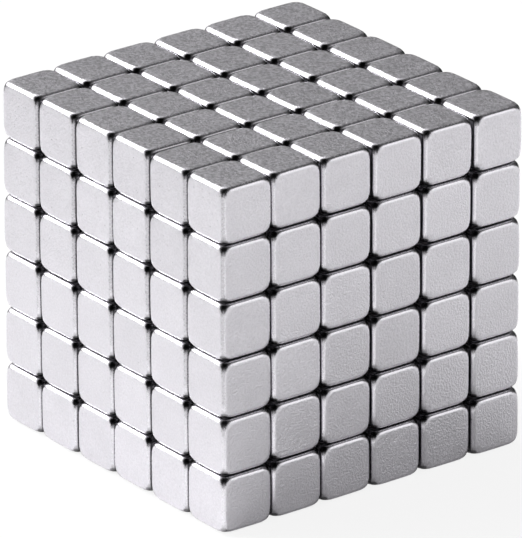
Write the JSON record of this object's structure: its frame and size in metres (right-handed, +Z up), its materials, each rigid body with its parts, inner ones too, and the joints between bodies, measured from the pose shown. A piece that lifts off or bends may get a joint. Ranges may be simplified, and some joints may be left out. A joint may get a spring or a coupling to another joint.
{
  "type": "magnetic desk sculpture",
  "caption": "Cube-shaped block of small nickel-plated magnets; its layers turn and slide, its rods slide and its loose top pieces lift off by hand.",
  "frame": {"origin": "middle of the block's underside", "axes": "+Z up, +X along the rods from cube 1 to cube 6, +Y from the front rod to the back one"},
  "size_m": [0.0302, 0.0302, 0.0302],
  "materials": {
    "nickel_plating": "satin nickel plating, tumbled, with a fine even grain"
  },
  "bodies": {
    "layer_1_rod_1": {"layer_1_rod_1": "nickel_plating"},
    "layer_1_rod_2": {"layer_1_rod_2": "nickel_plating"},
    "layer_1_rod_3": {"layer_1_rod_3": "nickel_plating"},
    "layer_1_rod_4": {"layer_1_rod_4": "nickel_plating"},
    "layer_1_rod_5": {"layer_1_rod_5": "nickel_plating"},
    "layer_1_rod_6": {"layer_1_rod_6": "nickel_plating"},
    "layer_2_rod_1": {"layer_2_rod_1": "nickel_plating"},
    "layer_2_rod_2": {"layer_2_rod_2": "nickel_plating"},
    "layer_2_rod_3": {"layer_2_rod_3": "nickel_plating"},
    "layer_2_rod_4": {"layer_2_rod_4": "nickel_plating"},
    "layer_2_rod_5": {"layer_2_rod_5": "nickel_plating"},
    "layer_2_rod_6": {"layer_2_rod_6": "nickel_plating"},
    "layer_3_rod_1": {"layer_3_rod_1": "nickel_plating"},
    "layer_3_rod_2": {"layer_3_rod_2": "nickel_plating"},
    "layer_3_rod_3": {"layer_3_rod_3": "nickel_plating"},
    "layer_3_rod_4": {"layer_3_rod_4": "nickel_plating"},
    "layer_3_rod_5": {"layer_3_rod_5": "nickel_plating"},
    "layer_3_rod_6": {"layer_3_rod_6": "nickel_plating"},
    "layer_4_rod_1": {"layer_4_rod_1": "nickel_plating"},
    "layer_4_rod_2": {"layer_4_rod_2": "nickel_plating"},
    "layer_4_rod_3": {"layer_4_rod_3": "nickel_plating"},
    "layer_4_rod_4": {"layer_4_rod_4": "nickel_plating"},
    "layer_4_rod_5": {"layer_4_rod_5": "nickel_plating"},
    "layer_4_rod_6": {"layer_4_rod_6": "nickel_plating"},
    "layer_5_rod_1": {"layer_5_rod_1": "nickel_plating"},
    "layer_5_rod_2": {"layer_5_rod_2": "nickel_plating"},
    "layer_5_rod_3": {"layer_5_rod_3": "nickel_plating"},
    "layer_5_rod_4": {"layer_5_rod_4": "nickel_plating"},
    "layer_5_rod_5": {"layer_5_rod_5": "nickel_plating"},
    "layer_5_rod_6": {"layer_5_rod_6": "nickel_plating"},
    "top_rod_1_pair": {"top_rod_1_pair": "nickel_plating"},
    "top_rod_1_cube_1": {"top_rod_1_cube_1": "nickel_plating"},
    "top_rod_1_cube_2": {"top_rod_1_cube_2": "nickel_plating"},
    "top_rod_1_cube_5": {"top_rod_1_cube_5": "nickel_plating"},
    "top_rod_1_cube_6": {"top_rod_1_cube_6": "nickel_plating"},
    "top_rod_2_pair": {"top_rod_2_pair": "nickel_plating"},
    "top_rod_2_cube_1": {"top_rod_2_cube_1": "nickel_plating"},
    "top_rod_2_cube_2": {"top_rod_2_cube_2": "nickel_plating"},
    "top_rod_2_cube_5": {"top_rod_2_cube_5": "nickel_plating"},
    "top_rod_2_cube_6": {"top_rod_2_cube_6": "nickel_plating"},
    "top_rod_3_pair": {"top_rod_3_pair": "nickel_plating"},
    "top_rod_3_cube_1": {"top_rod_3_cube_1": "nickel_plating"},
    "top_rod_3_cube_2": {"top_rod_3_cube_2": "nickel_plating"},
    "top_rod_3_cube_5": {"top_rod_3_cube_5": "nickel_plating"},
    "top_rod_3_cube_6": {"top_rod_3_cube_6": "nickel_plating"},
    "top_rod_4_pair": {"top_rod_4_pair": "nickel_plating"},
    "top_rod_4_cube_1": {"top_rod_4_cube_1": "nickel_plating"},
    "top_rod_4_cube_2": {"top_rod_4_cube_2": "nickel_plating"},
    "top_rod_4_cube_5": {"top_rod_4_cube_5": "nickel_plating"},
    "top_rod_4_cube_6": {"top_rod_4_cube_6": "nickel_plating"},
    "top_rod_5_pair": {"top_rod_5_pair": "nickel_plating"},
    "top_rod_5_cube_1": {"top_rod_5_cube_1": "nickel_plating"},
    "top_rod_5_cube_2": {"top_rod_5_cube_2": "nickel_plating"},
    "top_rod_5_cube_5": {"top_rod_5_cube_5": "nickel_plating"},
    "top_rod_5_cube_6": {"top_rod_5_cube_6": "nickel_plating"},
    "top_rod_6_pair": {"top_rod_6_pair": "nickel_plating"},
    "top_rod_6_cube_1": {"top_rod_6_cube_1": "nickel_plating"},
    "top_rod_6_cube_2": {"top_rod_6_cube_2": "nickel_plating"},
    "top_rod_6_cube_5": {"top_rod_6_cube_5": "nickel_plating"},
    "top_rod_6_cube_6": {"top_rod_6_cube_6": "nickel_plating"}
  },
  "joints": [
    {"name": "layer_2_turn", "type": "hinge", "parent": "layer_1_rod_3", "child": "layer_2_rod_3", "pos_m": [0, 0, 0.00505], "axis": [0, 0, 1], "continuous": true},
    {"name": "layer_3_slide", "type": "slide", "parent": "layer_2_rod_3", "child": "layer_3_rod_3", "axis": [0, 1, 0], "range_m": [-0.02525, 0.02525]},
    {"name": "layer_4_turn", "type": "hinge", "parent": "layer_3_rod_3", "child": "layer_4_rod_3", "pos_m": [0, 0, 0.01515], "axis": [0, 0, 1], "continuous": true},
    {"name": "layer_5_slide", "type": "slide", "parent": "layer_4_rod_3", "child": "layer_5_rod_3", "axis": [0, -1, 0], "range_m": [-0.02525, 0.02525]},
    {"name": "layer_6_turn", "type": "hinge", "parent": "layer_5_rod_3", "child": "top_rod_3_pair", "pos_m": [0, 0, 0.02525], "axis": [0, 0, 1], "continuous": true},
    {"name": "rod_1_of_top_layer_slide", "type": "slide", "parent": "top_rod_3_pair", "child": "top_rod_1_pair", "axis": [1, 0, 0], "range_m": [-0.02525, 0.02525]},
    {"name": "rod_2_of_top_layer_slide", "type": "slide", "parent": "top_rod_3_pair", "child": "top_rod_2_pair", "axis": [-1, 0, 0], "range_m": [-0.02525, 0.02525]},
    {"name": "rod_4_of_top_layer_slide", "type": "slide", "parent": "top_rod_3_pair", "child": "top_rod_4_pair", "axis": [-1, 0, 0], "range_m": [-0.02525, 0.02525]},
    {"name": "rod_5_of_top_layer_slide", "type": "slide", "parent": "top_rod_3_pair", "child": "top_rod_5_pair", "axis": [1, 0, 0], "range_m": [-0.02525, 0.02525]},
    {"name": "rod_6_of_top_layer_slide", "type": "slide", "parent": "top_rod_3_pair", "child": "top_rod_6_pair", "axis": [-1, 0, 0], "range_m": [-0.02525, 0.02525]},
    {"name": "top_rod_1_cube_1_lift", "type": "slide", "parent": "top_rod_1_pair", "child": "top_rod_1_cube_1", "axis": [0, 0, 1], "range_m": [0, 0.01]},
    {"name": "top_rod_1_cube_2_lift", "type": "slide", "parent": "top_rod_1_pair", "child": "top_rod_1_cube_2", "axis": [0, 0, 1], "range_m": [0, 0.01]},
    {"name": "top_rod_1_cube_5_lift", "type": "slide", "parent": "top_rod_1_pair", "child": "top_rod_1_cube_5", "axis": [0, 0, 1], "range_m": [0, 0.01]},
    {"name": "top_rod_1_cube_6_lift", "type": "slide", "parent": "top_rod_1_pair", "child": "top_rod_1_cube_6", "axis": [0, 0, 1], "range_m": [0, 0.01]},
    {"name": "rod_1_of_layer_1_slide", "type": "slide", "parent": "layer_1_rod_3", "child": "layer_1_rod_1", "axis": [-1, 0, 0], "range_m": [-0.02525, 0.02525]},
    {"name": "rod_2_of_layer_1_slide", "type": "slide", "parent": "layer_1_rod_3", "child": "layer_1_rod_2", "axis": [1, 0, 0], "range_m": [-0.02525, 0.02525]},
    {"name": "rod_4_of_layer_1_slide", "type": "slide", "parent": "layer_1_rod_3", "child": "layer_1_rod_4", "axis": [1, 0, 0], "range_m": [-0.02525, 0.02525]},
    {"name": "rod_5_of_layer_1_slide", "type": "slide", "parent": "layer_1_rod_3", "child": "layer_1_rod_5", "axis": [-1, 0, 0], "range_m": [-0.02525, 0.02525]},
    {"name": "rod_6_of_layer_1_slide", "type": "slide", "parent": "layer_1_rod_3", "child": "layer_1_rod_6", "axis": [1, 0, 0], "range_m": [-0.02525, 0.02525]},
    {"name": "rod_1_of_layer_5_slide", "type": "slide", "parent": "layer_5_rod_3", "child": "layer_5_rod_1", "axis": [-1, 0, 0], "range_m": [-0.02525, 0.02525]},
    {"name": "rod_2_of_layer_5_slide", "type": "slide", "parent": "layer_5_rod_3", "child": "layer_5_rod_2", "axis": [1, 0, 0], "range_m": [-0.02525, 0.02525]},
    {"name": "rod_4_of_layer_5_slide", "type": "slide", "parent": "layer_5_rod_3", "child": "layer_5_rod_4", "axis": [1, 0, 0], "range_m": [-0.02525, 0.02525]},
    {"name": "rod_5_of_layer_5_slide", "type": "slide", "parent": "layer_5_rod_3", "child": "layer_5_rod_5", "axis": [-1, 0, 0], "range_m": [-0.02525, 0.02525]},
    {"name": "rod_6_of_layer_5_slide", "type": "slide", "parent": "layer_5_rod_3", "child": "layer_5_rod_6", "axis": [1, 0, 0], "range_m": [-0.02525, 0.02525]},
    {"name": "rod_1_of_layer_4_slide", "type": "slide", "parent": "layer_4_rod_3", "child": "layer_4_rod_1", "axis": [1, 0, 0], "range_m": [-0.02525, 0.02525]},
    {"name": "rod_2_of_layer_4_slide", "type": "slide", "parent": "layer_4_rod_3", "child": "layer_4_rod_2", "axis": [-1, 0, 0], "range_m": [-0.02525, 0.02525]},
    {"name": "rod_4_of_layer_4_slide", "type": "slide", "parent": "layer_4_rod_3", "child": "layer_4_rod_4", "axis": [-1, 0, 0], "range_m": [-0.02525, 0.02525]},
    {"name": "rod_5_of_layer_4_slide", "type": "slide", "parent": "layer_4_rod_3", "child": "layer_4_rod_5", "axis": [1, 0, 0], "range_m": [-0.02525, 0.02525]},
    {"name": "rod_6_of_layer_4_slide", "type": "slide", "parent": "layer_4_rod_3", "child": "layer_4_rod_6", "axis": [-1, 0, 0], "range_m": [-0.02525, 0.02525]},
    {"name": "rod_1_of_layer_3_slide", "type": "slide", "parent": "layer_3_rod_3", "child": "layer_3_rod_1", "axis": [-1, 0, 0], "range_m": [-0.02525, 0.02525]},
    {"name": "rod_2_of_layer_3_slide", "type": "slide", "parent": "layer_3_rod_3", "child": "layer_3_rod_2", "axis": [1, 0, 0], "range_m": [-0.02525, 0.02525]},
    {"name": "rod_4_of_layer_3_slide", "type": "slide", "parent": "layer_3_rod_3", "child": "layer_3_rod_4", "axis": [1, 0, 0], "range_m": [-0.02525, 0.02525]},
    {"name": "rod_5_of_layer_3_slide", "type": "slide", "parent": "layer_3_rod_3", "child": "layer_3_rod_5", "axis": [-1, 0, 0], "range_m": [-0.02525, 0.02525]},
    {"name": "rod_6_of_layer_3_slide", "type": "slide", "parent": "layer_3_rod_3", "child": "layer_3_rod_6", "axis": [1, 0, 0], "range_m": [-0.02525, 0.02525]},
    {"name": "rod_1_of_layer_2_slide", "type": "slide", "parent": "layer_2_rod_3", "child": "layer_2_rod_1", "axis": [1, 0, 0], "range_m": [-0.02525, 0.02525]},
    {"name": "rod_2_of_layer_2_slide", "type": "slide", "parent": "layer_2_rod_3", "child": "layer_2_rod_2", "axis": [-1, 0, 0], "range_m": [-0.02525, 0.02525]},
    {"name": "rod_4_of_layer_2_slide", "type": "slide", "parent": "layer_2_rod_3", "child": "layer_2_rod_4", "axis": [-1, 0, 0], "range_m": [-0.02525, 0.02525]},
    {"name": "rod_5_of_layer_2_slide", "type": "slide", "parent": "layer_2_rod_3", "child": "layer_2_rod_5", "axis": [1, 0, 0], "range_m": [-0.02525, 0.02525]},
    {"name": "rod_6_of_layer_2_slide", "type": "slide", "parent": "layer_2_rod_3", "child": "layer_2_rod_6", "axis": [-1, 0, 0], "range_m": [-0.02525, 0.02525]},
    {"name": "top_rod_2_cube_1_lift", "type": "slide", "parent": "top_rod_2_pair", "child": "top_rod_2_cube_1", "axis": [0, 0, 1], "range_m": [0, 0.01]},
    {"name": "top_rod_2_cube_2_lift", "type": "slide", "parent": "top_rod_2_pair", "child": "top_rod_2_cube_2", "axis": [0, 0, 1], "range_m": [0, 0.01]},
    {"name": "top_rod_2_cube_5_lift", "type": "slide", "parent": "top_rod_2_pair", "child": "top_rod_2_cube_5", "axis": [0, 0, 1], "range_m": [0, 0.01]},
    {"name": "top_rod_2_cube_6_lift", "type": "slide", "parent": "top_rod_2_pair", "child": "top_rod_2_cube_6", "axis": [0, 0, 1], "range_m": [0, 0.01]},
    {"name": "top_rod_3_cube_1_lift", "type": "slide", "parent": "top_rod_3_pair", "child": "top_rod_3_cube_1", "axis": [0, 0, 1], "range_m": [0, 0.01]},
    {"name": "top_rod_3_cube_2_lift", "type": "slide", "parent": "top_rod_3_pair", "child": "top_rod_3_cube_2", "axis": [0, 0, 1], "range_m": [0, 0.01]},
    {"name": "top_rod_3_cube_5_lift", "type": "slide", "parent": "top_rod_3_pair", "child": "top_rod_3_cube_5", "axis": [0, 0, 1], "range_m": [0, 0.01]},
    {"name": "top_rod_3_cube_6_lift", "type": "slide", "parent": "top_rod_3_pair", "child": "top_rod_3_cube_6", "axis": [0, 0, 1], "range_m": [0, 0.01]},
    {"name": "top_rod_4_cube_1_lift", "type": "slide", "parent": "top_rod_4_pair", "child": "top_rod_4_cube_1", "axis": [0, 0, 1], "range_m": [0, 0.01]},
    {"name": "top_rod_4_cube_2_lift", "type": "slide", "parent": "top_rod_4_pair", "child": "top_rod_4_cube_2", "axis": [0, 0, 1], "range_m": [0, 0.01]},
    {"name": "top_rod_4_cube_5_lift", "type": "slide", "parent": "top_rod_4_pair", "child": "top_rod_4_cube_5", "axis": [0, 0, 1], "range_m": [0, 0.01]},
    {"name": "top_rod_4_cube_6_lift", "type": "slide", "parent": "top_rod_4_pair", "child": "top_rod_4_cube_6", "axis": [0, 0, 1], "range_m": [0, 0.01]},
    {"name": "top_rod_5_cube_1_lift", "type": "slide", "parent": "top_rod_5_pair", "child": "top_rod_5_cube_1", "axis": [0, 0, 1], "range_m": [0, 0.01]},
    {"name": "top_rod_5_cube_2_lift", "type": "slide", "parent": "top_rod_5_pair", "child": "top_rod_5_cube_2", "axis": [0, 0, 1], "range_m": [0, 0.01]},
    {"name": "top_rod_5_cube_5_lift", "type": "slide", "parent": "top_rod_5_pair", "child": "top_rod_5_cube_5", "axis": [0, 0, 1], "range_m": [0, 0.01]},
    {"name": "top_rod_5_cube_6_lift", "type": "slide", "parent": "top_rod_5_pair", "child": "top_rod_5_cube_6", "axis": [0, 0, 1], "range_m": [0, 0.01]},
    {"name": "top_rod_6_cube_1_lift", "type": "slide", "parent": "top_rod_6_pair", "child": "top_rod_6_cube_1", "axis": [0, 0, 1], "range_m": [0, 0.01]},
    {"name": "top_rod_6_cube_2_lift", "type": "slide", "parent": "top_rod_6_pair", "child": "top_rod_6_cube_2", "axis": [0, 0, 1], "range_m": [0, 0.01]},
    {"name": "top_rod_6_cube_5_lift", "type": "slide", "parent": "top_rod_6_pair", "child": "top_rod_6_cube_5", "axis": [0, 0, 1], "range_m": [0, 0.01]},
    {"name": "top_rod_6_cube_6_lift", "type": "slide", "parent": "top_rod_6_pair", "child": "top_rod_6_cube_6", "axis": [0, 0, 1], "range_m": [0, 0.01]}
  ]
}
